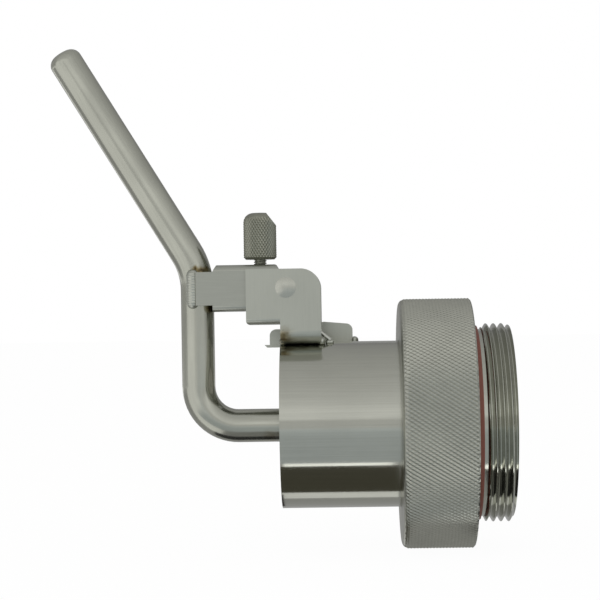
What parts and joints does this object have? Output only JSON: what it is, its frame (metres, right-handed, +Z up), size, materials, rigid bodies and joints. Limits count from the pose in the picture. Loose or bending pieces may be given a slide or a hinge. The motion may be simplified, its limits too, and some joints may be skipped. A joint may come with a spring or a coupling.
{
  "type": "pail tap",
  "caption": "Self-closing stainless outlet tap with a swivelling knurled male thread coupling, a cranked lever handle, an inner plug and a thumb locking screw.",
  "frame": {"origin": "on the spout tube's axis, in the plane where the coupling's male thread starts, 2.9 mm from the grip ring's face", "axes": "+X along the tube into the pail, +Z up towards the handle's tip, +Y across the tap, away from the picture's camera"},
  "size_m": [0.1371, 0.075, 0.1523],
  "materials": {
    "spout_steel": "drawn stainless tube, satin with fine lengthwise lines",
    "turned_steel": "turned stainless steel",
    "knurled_steel": "turned stainless steel, knurled grip and cut thread",
    "knob_steel": "stainless steel with a fine diamond knurl",
    "bar_steel": "drawn stainless bar with lengthwise lines and weld tint",
    "sheet_steel": "cold-rolled stainless sheet, matt, with weld tint near the beads",
    "weld_metal": "cast weld bead with brown heat tint",
    "spring_wire": "bright drawn spring wire",
    "red_silicone": "red-brown silicone, matt",
    "plug_silicone": "white food-grade silicone, matt",
    "white_ptfe": "white PTFE, smooth"
  },
  "bodies": {
    "tap_body": {"spout_tube": "spout_steel", "tube_flange": "turned_steel", "seat_ring": "turned_steel", "clevis_bracket": "sheet_steel", "clevis_welds": "weld_metal", "pivot_rivet": "turned_steel", "pivot_washers": "turned_steel", "shoulder_plate": "sheet_steel", "plate_weld": "weld_metal", "return_spring": "spring_wire", "spring_tack_weld": "weld_metal"},
    "coupling": {"coupling_ring": "knurled_steel", "thread_seal": "red_silicone", "flange_gasket": "white_ptfe"},
    "lever": {"handle_bar": "bar_steel", "lever_arm": "sheet_steel", "arm_welds": "weld_metal", "weld_nut": "turned_steel", "plug_front_washer": "turned_steel", "plug_seal": "plug_silicone", "plug_disc": "turned_steel", "plug_spring_washer": "turned_steel", "plug_nut": "turned_steel"},
    "lock_screw": {"screw_stem": "turned_steel"},
    "lock_knob": {"thumb_knob": "knob_steel"}
  },
  "joints": [
    {"name": "coupling_turn", "type": "hinge", "parent": "tap_body", "child": "coupling", "pos_m": [0, 0, 0], "axis": [1, 0, 0], "continuous": true},
    {"name": "lever_open", "type": "hinge", "parent": "tap_body", "child": "lever", "pos_m": [-0.058, 0, 0.0415], "axis": [0, -1, 0], "range_deg": [0, 11], "stiffness_Nm_per_rad": 0.6, "springref_deg": -24.06, "deforming": ["return_spring"]},
    {"name": "screw_rise", "type": "slide", "parent": "lever", "child": "lock_screw", "axis": [0, 0, 1], "range_m": [0, 0.0035]},
    {"name": "knob_turn", "type": "hinge", "parent": "lock_screw", "child": "lock_knob", "pos_m": [-0.0658, 0, 0.05], "axis": [0, 0, 1], "range_deg": [0, 1801]}
  ],
  "couplings": [
    {"joint": "knob_turn", "follows": "screw_rise", "rad_per_m": 8976}
  ]
}
